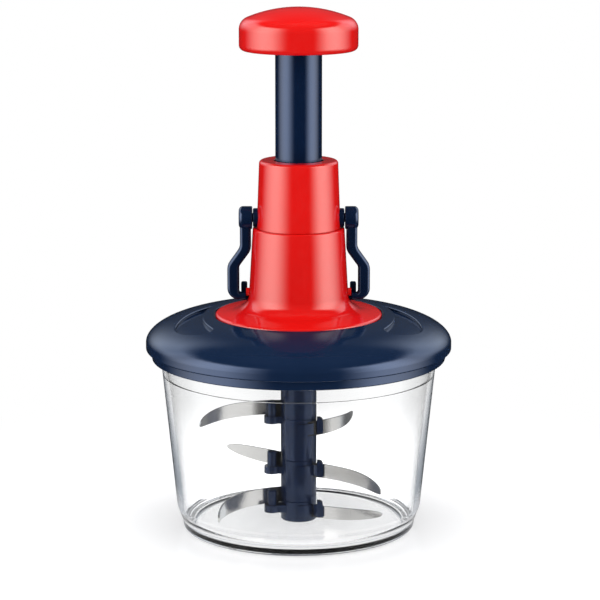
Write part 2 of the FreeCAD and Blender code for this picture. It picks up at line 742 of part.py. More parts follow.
def housing_screws():
    length = CUP_FLANGE_THICKNESS + LID_WALL + HOUSING_SCREW_BITE
    bottom = LID_FLOOR - CUP_FLANGE_THICKNESS - SCREW_HEAD_HEIGHT
    return screw_group(around(HOUSING_SCREWS, HOUSING_SCREW_CIRCLE, 45), bottom, length)


def underplate_screws():
    spots = around(UNDERPLATE_SCREWS, UNDERPLATE_SCREW_CIRCLE, 90)
    return screw_group(spots, UNDERPLATE_SCREW_BOTTOM, UNDERPLATE_SCREW_LENGTH)


# ---------------------------------------------------------------- housing
def lug_end():
    return ARM_FOOT_END - LUG_GAP


def bell_housing():
    foot = HOUSING_SEAT + BELL_FOOT_RISE
    rim = HOUSING_SEAT + FLANGE_RIM
    land = COLLAR_FOOT_RADIUS - COLLAR_LAND
    under = FLANGE_RADIUS - FLANGE_WALL
    spigot_room = SEAM - COLLAR_SPIGOT - SPIGOT_END_GAP
    bell = revolved([
        (under, HOUSING_SEAT, 0),
        (FLANGE_RADIUS, HOUSING_SEAT, 0.4),
        (FLANGE_RADIUS, rim, 1.5),
        (BELL_FOOT_RADIUS, foot, BELL_FILLET),
        (BELL_TOP_RADIUS, SEAM, 0.9),
        (land, SEAM, 0.2),
        (land, spigot_room, 0),
        (BELL_TOP_RADIUS - BELL_WALL, spigot_room - COLLAR_LAND, 0),
        (BELL_FOOT_RADIUS - BELL_WALL, foot - FLANGE_SKIN, BELL_FILLET + BELL_WALL),
        (under, rim - FLANGE_SKIN, 0.5),
    ])
    bore_top = HOUSING_SEAT + HOUSING_SCREW_BITE + SCREW_END_GAP
    post_top = bore_top + POST_CROWN
    for spot in around(HOUSING_SCREWS, HOUSING_SCREW_CIRCLE, 45):
        post = cylinder(SCREW_BOSS_RADIUS, HOUSING_SEAT, post_top, spot.x, spot.y)
        bell = bell.fuse(post)
        bell = bell.cut(cylinder(SCREW_RADIUS, HOUSING_SEAT - 1, bore_top, spot.x, spot.y))
    height = ARM_PIVOT - LUG_DROP
    for side in (-1, 1):
        start = Vector(side * BELL_TOP_RADIUS, 0, height)
        length = lug_end() - abs(start.x)
        lug = Part.makeCylinder(LUG_RADIUS, length, start, Vector(side, 0, 0))
        bell = bell.fuse(lug).cut(park_stop(side))
    return bell


def upper_collar():
    spigot = COLLAR_FOOT_RADIUS - COLLAR_LAND - SPIGOT_FIT
    bore = COLLAR_TOP_RADIUS - COLLAR_WALL + BUSH_FIT
    mouth = TUBE_RADIUS + COLLAR_MOUTH_GAP
    collar = revolved([
        (spigot, SEAM, 0),
        (COLLAR_FOOT_RADIUS, SEAM, 0.2),
        (COLLAR_TOP_RADIUS, COLLAR_TOP, COLLAR_EDGE),
        (mouth, COLLAR_TOP, 0.4),
        (mouth, BUSH_TOP, 0),
        (bore, BUSH_TOP, 0.2),
        (bore + COLLAR_DRAFT, SEAM - COLLAR_SPIGOT, 0),
        (spigot, SEAM - COLLAR_SPIGOT, 0.4),
    ])
    for side in (-1, 1):
        start = Vector(side * SLEEVE_BORE_RADIUS, 0, ARM_PIVOT)
        hole = Part.makeCylinder(ARM_PIN_RADIUS, COLLAR_FOOT_RADIUS, start, Vector(side, 0, 0))
        collar = collar.cut(hole)
    return collar


def guide_sleeve():
    outer = SLEEVE_BORE_RADIUS + SLEEVE_WALL
    sleeve = ring(SLEEVE_BORE_RADIUS, outer, HOUSING_SEAT, BUSH_BOTTOM, 0.3)
    half = KEY_WIDTH / 2 + KEY_FIT
    slot = box(-half, half, -outer - 1, outer + 1, HOUSING_SEAT + SLOT_RISE, BUSH_BOTTOM + 1)
    return sleeve.cut(slot)


def guide_bush():
    outer = COLLAR_TOP_RADIUS - COLLAR_WALL
    return ring(TUBE_RADIUS + TUBE_FIT, outer, BUSH_BOTTOM, BUSH_TOP, 0.3)


def bearing_cup():
    outer = CUP_BORE_RADIUS + CUP_WALL
    flange_bottom = LID_FLOOR - CUP_FLANGE_THICKNESS
    cup = revolved([
        (BEARING_RADIUS, CUP_BOTTOM, 0),
        (outer, CUP_BOTTOM, 1.2),
        (outer, flange_bottom, 1.5),
        (CUP_FLANGE_RADIUS, flange_bottom, 0.4),
        (CUP_FLANGE_RADIUS, LID_FLOOR, 0),
        (CUP_BORE_RADIUS, LID_FLOOR, 0),
        (CUP_BORE_RADIUS, CUP_FLOOR_TOP, 0.3),
        (BEARING_RADIUS, CUP_FLOOR_TOP, 0),
    ])
    for spot in around(HOUSING_SCREWS, HOUSING_SCREW_CIRCLE, 45):
        cup = cup.cut(cylinder(SCREW_RADIUS, flange_bottom - 1, LID_FLOOR + 1, spot.x, spot.y))
    return cup


def spindle_bearing():
    bore = JOURNAL_RADIUS + JOURNAL_FIT
    return revolved([
        (bore, CUP_BOTTOM, 0.2),
        (BEARING_RADIUS, CUP_BOTTOM, 0),
        (BEARING_RADIUS, CUP_FLOOR_TOP, 0),
        (BEARING_RADIUS + BEARING_FLANGE, CUP_FLOOR_TOP, 0),
        (BEARING_RADIUS + BEARING_FLANGE, BEARING_TOP, 0.3),
        (bore, BEARING_TOP, 0.2),
    ])


def pivot_pin(side):
    """Pin that an arm swings on, with the flange that spaces it from the collar."""
    flange_end = ARM_BOSS_INNER - ARM_SIDE_GAP
    start = Vector(side * (SLEEVE_BORE_RADIUS + SLEEVE_WALL + ARM_PIN_END_GAP), 0, ARM_PIVOT)
    length = ARM_BOSS_INNER + ARM_BOSS_WIDTH - ARM_BOSS_CAP - ARM_SIDE_GAP - abs(start.x)
    out = Vector(side, 0, 0)
    pin = Part.makeCylinder(ARM_PIN_RADIUS, length, start, out)
    flange_start = Vector(side * (COLLAR_TOP_RADIUS - 1.0), 0, ARM_PIVOT)
    flange = Part.makeCylinder(ARM_PIN_FLANGE_RADIUS, flange_end - abs(flange_start.x),
                               flange_start, out)
    rim = [e for e in flange.Edges if abs(abs(e.CenterOfMass.x) - flange_end) < 0.01]
    flange = flange.makeFillet(ARM_PIN_FLANGE_EDGE, rim)
    skin = Part.makeCone(COLLAR_FOOT_RADIUS, COLLAR_TOP_RADIUS, COLLAR_HEIGHT, Vector(0, 0, SEAM))
    return flange.cut(skin).fuse(pin).removeSplitter()


def park_stop(side):
    """L-shaped stop on the bell, behind an arm's foot, that the hanging arm rests against."""
    low = ARM_PIVOT - STOP_DROP
    base = box(STOP_ROOT, STOP_REACH, STOP_NEAR, STOP_NEAR + STOP_WIDTH, low, low + STOP_BASE)
    post = box(STOP_REACH - STOP_POST, STOP_REACH, STOP_NEAR, STOP_NEAR + STOP_WIDTH,
               low, low + STOP_BASE + STOP_RISE)
    stop = base.fuse(post).removeSplitter()
    crown = low + STOP_BASE + STOP_RISE
    upper = [e for e in stop.Edges if abs(e.CenterOfMass.z - crown) < 0.01]
    stop = stop.makeFillet(STOP_ROUND, upper)
    skin = cylinder(BELL_FOOT_RADIUS - STOP_SINK, low - 1, crown + 1)
    stop = stop.cut(skin)
    if side < 0:
        stop = stop.mirror(Vector(0, 0, 0), Vector(1, 0, 0))
    return stop


# ---------------------------------------------------------------- arms
def arm(side):
    """Locking arm: a rounded bar with a jog and an inward foot, on a boss at its pivot."""
    catch = ARM_PIVOT - catch_reach()
    foot = ARM_PIVOT - ARM_FOOT_DROP
    upper_outer = ARM_UPPER_INNER + ARM_UPPER_WIDTH
    lower_outer = ARM_LOWER_INNER + ARM_LOWER_WIDTH
    outline = rounded_path([
        (ARM_UPPER_INNER, ARM_PIVOT, 0),
        (ARM_UPPER_INNER, ARM_PIVOT - ARM_JOG_INNER[0], ARM_JOG_ROUND),
        (ARM_LOWER_INNER, ARM_PIVOT - ARM_JOG_INNER[1], ARM_JOG_ROUND / 2),
        (ARM_LOWER_INNER, catch, ARM_HOOK_ROUND),
        (ARM_FOOT_END, catch, 0),
        (ARM_FOOT_END, foot, 0),
        (lower_outer, foot, ARM_HEEL_ROUND),
        (lower_outer, ARM_PIVOT - ARM_JOG_OUTER[1], ARM_JOG_ROUND),
        (upper_outer, ARM_PIVOT - ARM_JOG_OUTER[0], ARM_JOG_ROUND),
        (upper_outer, ARM_PIVOT, 0),
    ], lambda p: Vector(p.x, -ARM_HALF_DEPTH, p.y), True)
    bar = Part.Face(outline).extrude(Vector(0, 2 * ARM_HALF_DEPTH, 0))
    long_edges = [e for e in bar.Edges if abs(abs(e.CenterOfMass.y) - ARM_HALF_DEPTH) < 0.01
                  and abs(e.CenterOfMass.z - ARM_PIVOT) > 1
                  and abs(e.CenterOfMass.x - ARM_FOOT_END) > 0.01]
    foot_limit = (catch - foot - ARM_FOOT_FLAT) / 2
    bar = bar.makeFillet(min(ARM_EDGE, foot_limit), long_edges)
    boss = Part.makeCylinder(ARM_BOSS_RADIUS, ARM_BOSS_WIDTH, Vector(ARM_BOSS_INNER, 0, ARM_PIVOT),
                             Vector(1, 0, 0))
    outer_end = ARM_BOSS_INNER + ARM_BOSS_WIDTH
    outer_rim = [e for e in boss.Edges if abs(e.CenterOfMass.x - outer_end) < 0.01]
    boss = boss.makeFillet(ARM_BOSS_EDGE, outer_rim)
    inner_rim = [e for e in circle_edges(boss) if abs(e.Curve.Center.x - ARM_BOSS_INNER) < 0.01]
    boss = boss.makeFillet(0.5, inner_rim)
    bore_length = ARM_BOSS_WIDTH - ARM_BOSS_CAP
    bore = Part.makeCylinder(ARM_PIN_RADIUS + ARM_PIN_FIT, bore_length + 1,
                             Vector(ARM_BOSS_INNER - 1, 0, ARM_PIVOT), Vector(1, 0, 0))
    solid = boss.fuse(bar).cut(bore).removeSplitter()
    if side < 0:
        solid = solid.mirror(Vector(0, 0, 0), Vector(1, 0, 0))
    return solid


def knob_surface(radius):
    """Height of the knob's shoulder at a radius, above the knob's underside."""
    dome_centre = KNOB_HEIGHT - KNOB_DOME_RADIUS
    centre_r = KNOB_RADIUS - KNOB_SHOULDER
    centre_z = dome_centre + math.sqrt((KNOB_DOME_RADIUS - KNOB_SHOULDER) ** 2 - centre_r ** 2)
    return centre_z + math.sqrt(KNOB_SHOULDER ** 2 - (radius - centre_r) ** 2)


def catch_reach():
    """Distance from an arm's pivot to its catch face, which lies over the pressed knob."""
    pressed = KNOB_BOTTOM - PLUNGER_TRAVEL + knob_surface(ARM_FOOT_END)
    return pressed + ARM_CATCH_GAP - ARM_PIVOT


# ---------------------------------------------------------------- plunger
def knob():
    dome_centre = KNOB_TOP - KNOB_DOME_RADIUS
    edge = dome_centre + math.sqrt(KNOB_DOME_RADIUS ** 2 - KNOB_RADIUS ** 2)
    half_way = KNOB_RADIUS / 2
    crown = dome_centre + math.sqrt(KNOB_DOME_RADIUS ** 2 - half_way ** 2)
    outline = Part.Wire([
        Part.makeLine(Vector(0, 0, KNOB_BOTTOM), Vector(KNOB_RADIUS, 0, KNOB_BOTTOM)),
        Part.makeLine(Vector(KNOB_RADIUS, 0, KNOB_BOTTOM), Vector(KNOB_RADIUS, 0, edge)),
        Part.Arc(Vector(KNOB_RADIUS, 0, edge), Vector(half_way, 0, crown),
                 Vector(0, 0, KNOB_TOP)).toShape(),
        Part.makeLine(Vector(0, 0, KNOB_TOP), Vector(0, 0, KNOB_BOTTOM)),
    ])
    body = Part.Face(outline).revolve(Vector(0, 0, 0), Vector(0, 0, 1), 360)
    body = body.makeFillet(KNOB_SHOULDER, circle_edges(body, edge))
    body = body.makeFillet(KNOB_EDGE, circle_edges(body, KNOB_BOTTOM))
    ceiling = KNOB_TOP - KNOB_WALL
    inside = KNOB_RADIUS - KNOB_WALL
    hollow = revolved([
        (0, KNOB_BOTTOM - 1, 0),
        (inside, KNOB_BOTTOM - 1, 0),
        (inside, ceiling - KNOB_CEILING_DROP, KNOB_CEILING_ROUND),
        (0, ceiling, 0),
    ])
    body = body.cut(hollow)
    socket = TUBE_RADIUS + KNOB_SOCKET_WALL
    rib_bottom = TUBE_TOP - KNOB_RIB_DEPTH
    rib_top = ceiling - KNOB_CEILING_DROP
    half = KNOB_RIB_WIDTH / 2
    hub = cylinder(socket, TUBE_TOP - KNOB_SOCKET_DEPTH, ceiling)
    hub = hub.fuse(cylinder(TUBE_BORE - KNOB_SEAT_FIT, TUBE_WEB_TOP, ceiling))
    for i in range(KNOB_RIBS):
        rib = box(socket - 1, inside + 1, -half, half, rib_bottom, rib_top)
        rib.rotate(Vector(0, 0, 0), Vector(0, 0, 1), 360.0 * i / KNOB_RIBS)
        hub = hub.fuse(rib)
    seat = ring(TUBE_BORE - KNOB_SEAT_FIT, TUBE_RADIUS + KNOB_SEAT_FIT,
                TUBE_TOP - KNOB_SOCKET_DEPTH - 1, TUBE_TOP)
    hub = hub.cut(seat)
    bore_top = TUBE_WEB_TOP + KNOB_SCREW_BITE + SCREW_END_GAP
    hub = hub.cut(cylinder(KNOB_SCREW_RADIUS, TUBE_WEB_TOP - 1, bore_top))
    return body.fuse(hub).removeSplitter()


def knob_screw():
    head_bottom = TUBE_WEB_BOTTOM - SCREW_HEAD_HEIGHT
    length = TUBE_WEB_THICKNESS + KNOB_SCREW_BITE
    return screw(0, 0, head_bottom, length, KNOB_SCREW_RADIUS, KNOB_SCREW_HEAD_RADIUS)


def plunger_tube():
    return revolved([
        (TUBE_BORE, NUT_TOP, 0.2),
        (TUBE_RADIUS, NUT_TOP, 0.3),
        (TUBE_RADIUS, TUBE_TOP, 0.3),
        (TUBE_BORE, TUBE_TOP, 0.3),
        (TUBE_BORE, TUBE_WEB_TOP, 0),
        (KNOB_SCREW_RADIUS, TUBE_WEB_TOP, 0),
        (KNOB_SCREW_RADIUS, TUBE_WEB_BOTTOM, 0),
        (TUBE_BORE, TUBE_WEB_BOTTOM, 0.5),
    ])


def drive_nut():
    flange = cylinder(NUT_FLANGE_RADIUS, NUT_BOTTOM, NUT_TOP)
    reach = SLEEVE_BORE_RADIUS + KEY_HEIGHT
    half = KEY_WIDTH / 2
    nut = flange.fuse(box(-half, half, -reach, reach, NUT_BOTTOM, NUT_TOP))
    nut = nut.fuse(cylinder(TUBE_BORE, NUT_TOP, NUT_TOP + NUT_SPIGOT))
    corner = SPINDLE_CORNER_RADIUS + TWIST_FIT * math.sqrt(2)
    return nut.cut(twisted_bar(corner, NUT_BOTTOM - 1, NUT_TOP + NUT_SPIGOT + 1))


def return_spring():
    """Coil spring with a hexagonal wire outline and closed, nearly flat ends."""
    low = CUP_FLOOR_TOP + SPRING_END_GAP + SPRING_WIRE_RADIUS
    high = NUT_BOTTOM - SPRING_END_GAP - SPRING_WIRE_RADIUS
    dead = SPRING_DEAD_TURNS
    pitch_dead = 2 * SPRING_WIRE_RADIUS + SPRING_DEAD_GAP
    steps = SPRING_TURNS * SPRING_STEPS_PER_TURN
    rings = []
    for i in range(steps + 1):
        turn = i / SPRING_STEPS_PER_TURN
        if turn <= dead:
            z = low + pitch_dead * turn
        elif turn >= SPRING_TURNS - dead:
            z = high - pitch_dead * (SPRING_TURNS - turn)
        else:
            share = (turn - dead) / (SPRING_TURNS - 2 * dead)
            z = low + pitch_dead * dead + share * (high - low - 2 * pitch_dead * dead)
        loop = []
        for j in range(SPRING_WIRE_SIDES):
            tilt = 2 * math.pi * j / SPRING_WIRE_SIDES
            radius = SPRING_MEAN_RADIUS + SPRING_WIRE_RADIUS * math.cos(tilt)
            loop.append(polar(radius, 360 * turn, z + SPRING_WIRE_RADIUS * math.sin(tilt)))
        rings.append(loop)
    return skinned(rings, [rings[0], rings[-1]])


# ---------------------------------------------------------------- spindle
def spindle():
    """Steep twisted bar on a round journal that carries the drive coupling."""
    groove = JOURNAL_RADIUS - CLIP_GROOVE
    foot = HEX_BOTTOM + STEM_SETBACK
    stem = revolved([
        (0, foot, 0),
        (JOURNAL_RADIUS, foot, 0.4),
        (JOURNAL_RADIUS, CLIP_BOTTOM - CLIP_PLAY, 0),
        (groove, CLIP_BOTTOM - CLIP_PLAY, 0),
        (groove, CLIP_TOP + CLIP_PLAY, 0),
        (JOURNAL_RADIUS, CLIP_TOP + CLIP_PLAY, 0),
        (JOURNAL_RADIUS, SHOULDER_BOTTOM, 0),
        (SHOULDER_RADIUS, SHOULDER_BOTTOM, 0.3),
        (SHOULDER_RADIUS, TWIST_BOTTOM, 0.5),
        (0, TWIST_BOTTOM, 0),
    ])
    bar = twisted_bar(SPINDLE_CORNER_RADIUS, TWIST_BOTTOM - 0.5, SPINDLE_TOP)
    return stem.fuse(bar).cut(coupling_pin())


def thrust_washer():
    return ring(JOURNAL_RADIUS + JOURNAL_FIT, SHOULDER_RADIUS, BEARING_TOP, SHOULDER_BOTTOM)


def retaining_clip():
    """Open spring clip in the journal's groove, under the bearing."""
    groove = JOURNAL_RADIUS - CLIP_GROOVE
    clip = ring(groove, CLIP_RADIUS, CLIP_BOTTOM, CLIP_TOP)
    gap = groove - CLIP_MOUTH_STEP
    clip = clip.cut(box(0, CLIP_RADIUS + 1, -gap, gap, CLIP_BOTTOM - 1, CLIP_TOP + 1))
    for spot in around(4, JOURNAL_RADIUS + CLIP_GROOVE)[1:]:
        window = cylinder(CLIP_WINDOW_RADIUS, CLIP_BOTTOM - 1, CLIP_TOP + 1, spot.x, spot.y)
        clip = clip.cut(window)
    return clip


def drive_coupling():
    """Hexagonal dog that drops into the blade column's socket when the lid goes on."""
    nose = hexagon(HEX_FLATS, HEX_BOTTOM, COUPLING_TOP)
    tip = HEX_FLATS / 2 - COUPLING_NOSE_CHAMFER
    height = COUPLING_TOP - HEX_BOTTOM
    dog = nose.common(Part.makeCone(tip, tip + height, height, Vector(0, 0, HEX_BOTTOM)))
    dog = dog.fuse(cylinder(COUPLING_DISC_RADIUS, HEX_TOP, COUPLING_TOP))
    dog = dog.cut(cylinder(JOURNAL_RADIUS, HEX_BOTTOM - 1, COUPLING_TOP + 1))
    return dog.cut(coupling_pin())


def coupling_pin():
    """Cross pin through the coupling's disc and the spindle's stem."""
    reach = COUPLING_DISC_RADIUS - COUPLING_PIN_INSET
    start = Vector(-reach, 0, (HEX_TOP + COUPLING_TOP) / 2 - COUPLING_PIN_DROP)
    return Part.makeCylinder(COUPLING_PIN_RADIUS, 2 * reach, start, Vector(1, 0, 0))


# ---------------------------------------------------------------- blades
def seam_height(number):
    return COLUMN_BOTTOM + FOOT_HEIGHT + (number - 1) * SECTION_HEIGHT


def blade_bottom(blade):
    return seam_height(blade.seam) + blade.rise


def blade_points(blade):
    """Root, middle and tip of the arc that a blade follows, seen from above."""
    tip = polar(inner_radius(blade_bottom(blade)) - blade.tip_gap, blade.tip_angle)
    return Vector(*blade.root, 0), Vector(*blade.middle, 0), tip


def blade_circle(blade):
    arc = Part.Arc(*blade_points(blade)).toShape().Curve
    return arc.Center, arc.Radius


def blade_y(blade, x):
    """Where a blade's centre line crosses a given x, on its root side."""
    centre, radius = blade_circle(blade)
    rise = math.sqrt(max(radius ** 2 - (x - centre.x) ** 2, 0))
    options = (centre.y + rise, centre.y - rise)
    return min(options, key=lambda y: abs(y - blade.root[1]))


def blade_strip(blade, thickness, extra):
    """The blade's curved strip at full height, thick enough for a slot if asked."""
    centre = blade_circle(blade)[0]
    sides = []
    for by in (thickness / 2, -thickness / 2):
        around_centre = [p - centre for p in blade_points(blade)]
        sides.append([centre + a * ((a.Length + by) / a.Length) for a in around_centre])
    outer, inner = sides
    outline = Part.Wire([
        Part.Arc(outer[0], outer[1], outer[2]).toShape(),
        Part.makeLine(outer[2], inner[2]),
        Part.Arc(inner[2], inner[1], inner[0]).toShape(),
        Part.makeLine(inner[0], outer[0]),
    ])
    bottom = blade_bottom(blade) - extra
    return raised(Part.Face(outline), bottom, bottom + blade.height + 2 * extra)


def blade_side_view(blade, low, tip_low):
    """Block with the blade's outline as seen from the side; its lower edge starts and ends
    at the given heights above the blade's own bottom."""
    root, _, tip = blade_points(blade)
    chord = tip - root
    along = Vector(chord.x, chord.y, 0).normalize()
    across = Vector(-along.y, along.x, 0)
    up = Vector(0, 0, 1)
    length = chord.Length - BLADE_THICKNESS
    reach = 2 * BOWL_RIM_RADIUS
    origin = root - across * reach + up * blade_bottom(blade)

    def at(distance, rise):
        return origin + along * distance + up * rise

    def tapered(straight, tip_rise, start):
        """A level edge that turns into a quarter of an ellipse towards the tip."""
        begin = start * length
        centre = at(begin, tip_rise)
        ellipse = Part.Ellipse(at(length, tip_rise), at(begin, straight), centre)
        return Part.ArcOfEllipse(ellipse, 0, math.pi / 2).toShape()

    back = tapered(blade.height, blade.height - blade.back, blade.back_start)
    edge = tapered(low, tip_low, blade.edge_start)
    root_end = -BLADE_ROOT_ALLOWANCE
    outline = Part.Wire(Part.sortEdges([
        Part.makeLine(at(root_end, blade.height), at(blade.back_start * length, blade.height)),
        back,
        Part.makeLine(at(length, blade.height - blade.back), at(length, tip_low)),
        edge,
        Part.makeLine(at(blade.edge_start * length, low), at(root_end, low)),
        Part.makeLine(at(root_end, low), at(root_end, blade.height)),
    ])[0])
    return Part.Face(outline).extrude(across * (2 * reach))


def blade_body(blade):
    """Sickle blade on edge, curved in plan and towards its tip, ground thin along its
    lower edge."""
    tip_middle = (blade.height - blade.back + blade.edge) / 2
    upper = blade_side_view(blade, GROUND_HEIGHT, tip_middle)
    body = blade_strip(blade, BLADE_THICKNESS, 0).common(upper)
    whole = blade_side_view(blade, 0, blade.edge)
    ground = blade_strip(blade, GROUND_THICKNESS, 0).common(whole)
    return body.fuse(ground).removeSplitter()


def peg_holder(blade):
    """Ledge that a left-hand blade rests on, with the peg that holds it from the front."""
    bottom = blade_bottom(blade)
    x = -PEG_REACH
    y = blade_y(blade, x) - PEG_RADIUS - BLADE_THICKNESS / 2 - BLADE_SLOT_FIT
    low = bottom - LEDGE_THICKNESS
    ledge = cylinder(LEDGE_RADIUS, low, bottom, x, y)
    ledge = ledge.fuse(box(x, -CORE_RADIUS, y - LEDGE_FRONT, y + LEDGE_RADIUS, low, bottom))
    peg = cylinder(PEG_RADIUS, low + PEG_ROUND, bottom + PEG_HEIGHT, x, y)
    crown = [e for e in peg.Edges if abs(e.CenterOfMass.z - bottom - PEG_HEIGHT) < 0.01]
    return ledge.fuse(peg.makeFillet(PEG_ROUND, crown))


def clamp_holder(blade):
    """Clamp plate that a right-hand blade passes through, on a band round the column."""
    low = blade_bottom(blade) + CLAMP_RISE
    x = CLAMP_REACH
    middle = blade_y(blade, x - CLAMP_PLATE / 2)
    half = CLAMP_WALL + BLADE_THICKNESS / 2
    plate = box(x - CLAMP_PLATE, x, middle - half, middle + half, low, low + CLAMP_HEIGHT)
    crown = [e for e in plate.Edges
             if e.CenterOfMass.x > x - 0.1 and abs(e.CenterOfMass.z - low - CLAMP_HEIGHT) < 0.01]
    plate = plate.makeFillet(CLAMP_CORNER, crown)
    near = middle - half + CLAMP_LINK_SETBACK
    inside = x - CLAMP_PLATE + CLAMP_LINK_OVERLAP
    start = Vector(CORE_RADIUS, -COLUMN_RADIUS / 2, low)
    link = [start,
            polar(COLUMN_RADIUS - CLAMP_LINK_OVERLAP, CLAMP_LINK_ANGLE, low),
            Vector(inside, near, low),
            Vector(inside, middle + half, low),
            start]
    outer = COLUMN_RADIUS + CLAMP_WRAP_BULGE
    sector = [Vector(0, 0, low),
              polar(2 * outer, CLAMP_WRAP_START, low),
              polar(2 * outer, CLAMP_WRAP_END, low),
              Vector(0, 0, low)]
    top = low + CLAMP_WRAP_HEIGHT
    wrap = ring(CORE_RADIUS + 1, outer, low, top)
    wrap = wrap.common(raised(Part.Face(Part.makePolygon(sector)), low, top))
    return plate.fuse(raised(Part.Face(Part.makePolygon(link)), low, top)).fuse(wrap)


def holder(blade):
    return peg_holder(blade) if blade.middle[0] < 0 else clamp_holder(blade)


def core_profile(fit, bottom, top):
    """The column's inner shaft: round with two flats, so that the sections can't turn."""
    flats = CORE_FLATS / 2 + fit
    shaft = cylinder(CORE_RADIUS + fit, bottom, top)
    reach = 2 * CORE_RADIUS
    return shaft.common(box(-reach, reach, -flats, flats, bottom, top))


def blades_at(seams):
    return [row for row in BLADES if row.seam in seams]


def column_section(bottom, top, rows):
    """One turned section of the column with the holders that stand on it."""
    body = cylinder(COLUMN_RADIUS, bottom, top)
    body = body.makeChamfer(SEAM_CHAMFER, circle_edges(body))
    for row in rows:
        grip = holder(row)
        above = cylinder(COLUMN_RADIUS + CORE_FIT, top, top + 3 * SECTION_HEIGHT)
        body = body.fuse(grip.cut(above))
    for row in BLADES:
        body = body.cut(blade_strip(row, BLADE_THICKNESS + 2 * BLADE_SLOT_FIT, BLADE_SLOT_FIT))
    return body


def hub_section(number):
    """Section between two seams; number 1 stands on the foot."""
    bottom = seam_height(number)
    top = seam_height(number + 1) if number < 3 else CAP_BOTTOM
    body = column_section(bottom, top, blades_at([number + 1]))
    return body.cut(core_profile(CORE_FIT, bottom - 1, top + 1))


def carrier_core():
    """Inner shaft in one piece with the column's foot, which turns on the bowl's pin."""
    top = seam_height(1)
    foot = column_section(COLUMN_BOTTOM, top, blades_at([1]))
    shaft = core_profile(0, top - 1, CAP_BOTTOM + CORE_RISE)
    core = foot.fuse(shaft)
    recess_top = COLUMN_BOTTOM + FOOT_RECESS_HEIGHT
    core = core.cut(cylinder(FOOT_RECESS_RADIUS, COLUMN_BOTTOM - 1, recess_top))
    return core.cut(cylinder(FOOT_BUSH_RADIUS, recess_top, recess_top + FOOT_BUSH_LENGTH + 1))


def carrier_foot_bush():
    bottom = COLUMN_BOTTOM + FOOT_RECESS_HEIGHT
    return ring(PIVOT_RADIUS + CORE_FIT, FOOT_BUSH_RADIUS, bottom, bottom + FOOT_BUSH_LENGTH)


def carrier_cap():
    """Top of the column, with the hexagonal socket for the drive coupling."""
    body = cylinder(COLUMN_RADIUS, CAP_BOTTOM, COLUMN_TOP)
    body = body.makeChamfer(SEAM_CHAMFER, circle_edges(body))
    body = body.cut(core_profile(CORE_FIT, CAP_BOTTOM - 1, CAP_BOTTOM + CORE_RISE + CORE_END_GAP))
    return body.cut(hexagon(HEX_FLATS + 2 * HEX_FIT, HEX_BOTTOM - 1, COLUMN_TOP + 1))


def all_parts():
    parts = {
        "bowl": bowl(),
        "bowl_pivot_pin": bowl_pivot_pin(),
        "lid_shell": lid_shell(),
        "lid_underplate": lid_underplate(),
        "lid_gasket": lid_gasket(),
        "underplate_screws": underplate_screws(),
        "bell_housing": bell_housing(),
        "upper_collar": upper_collar(),
        "guide_sleeve": guide_sleeve(),
        "guide_bush": guide_bush(),
        "housing_screws": housing_screws(),
        "bearing_cup": bearing_cup(),
        "spindle_bearing": spindle_bearing(),
        "left_pivot_pin": pivot_pin(-1),
        "right_pivot_pin": pivot_pin(1),
        "left_park_stop": park_stop(-1),
        "right_park_stop": park_stop(1),
        "left_arm": arm(-1),
        "right_arm": arm(1),
        "knob": knob(),
        "knob_screw": knob_screw(),
        "plunger_tube": plunger_tube(),
        "drive_nut": drive_nut(),
        "return_spring": return_spring(),
        "spindle": spindle(),
        "thrust_washer": thrust_washer(),
        "retaining_clip": retaining_clip(),
        "drive_coupling": drive_coupling(),
        "coupling_pin": coupling_pin(),
        "carrier_core": carrier_core(),
        "hub_lower": hub_section(1),
        "hub_middle": hub_section(2),
        "hub_upper": hub_section(3),
        "carrier_cap": carrier_cap(),
        "carrier_foot_bush": carrier_foot_bush(),
    }
    for row in BLADES:
        parts[row.name] = blade_body(row)
    return parts


def main():
    os.makedirs("parts", exist_ok=True)
    for name, shape in all_parts().items():
        shape.exportStep(os.path.join("parts", name + ".step"))
        print(name, "solids", len(shape.Solids), "volume", round(shape.Volume, 1))


main()
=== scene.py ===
"""Looks of the plunger food chopper: materials, camera, floor and soft studio light.

Metres and radians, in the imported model's frame.  The front faces -Y.
"""

import bpy
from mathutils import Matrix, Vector

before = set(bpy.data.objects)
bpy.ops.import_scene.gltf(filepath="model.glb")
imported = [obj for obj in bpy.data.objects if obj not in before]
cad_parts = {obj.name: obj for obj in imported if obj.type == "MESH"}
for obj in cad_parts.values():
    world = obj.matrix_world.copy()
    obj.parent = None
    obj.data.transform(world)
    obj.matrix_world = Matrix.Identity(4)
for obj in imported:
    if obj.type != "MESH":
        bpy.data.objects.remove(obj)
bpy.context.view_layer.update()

# ---------------------------------------------------------------- plastics, metals, rubber
# Colours are linear.  A noise goes through its usual range while a colour wanders between two
# colours, and a roughness between two shares of itself.
NOISE_RANGE = (0.3, 0.7)
WHITE = (1, 1, 1, 1)
BLACK = (0, 0, 0, 1)

PLASTIC_IOR = 1.5
PLASTIC_SPECULAR = 0.8
PLASTIC_SPREAD = (0.75, 1.35)
ORANGE_PEEL = 0.00001
NAVY_SHEEN = (0.55, 0.68, 1)
RED_SHEEN = (1, 1, 0.92)
# painted darker reflection: the share of the red's colour painted out where other glossy pieces
# mirror it
RED_REFLECTION_DARKENING = 0.8

CLEAR_IOR = 1.45
CLEAR_SPECULAR = 0.4
CLEAR_COLOURS = ((0.985, 0.99, 0.992), (1, 1, 1))
CLEAR_ROUGHNESS = 0.02
CLEAR_SPREAD = (0, 1)
CLEAR_WAVES = 0.00002
CLEAR_SHADOW = (0.985, 0.985, 0.987, 1)

STEEL_SPREAD = (0.7, 1.4)
STEEL_STREAK = 0.93
STEEL_GRAIN = 0.000006
# painted shade on the blades near the hub: two distances from the axis, and the share of the
# blades' colour painted dark at the nearer
BLADE_ROOT_SHADE = (0.0135, 0.0185, 0.93)

MATTE_SPREAD = (0.8, 1.15)
MATTE_GRAIN = 0.00004

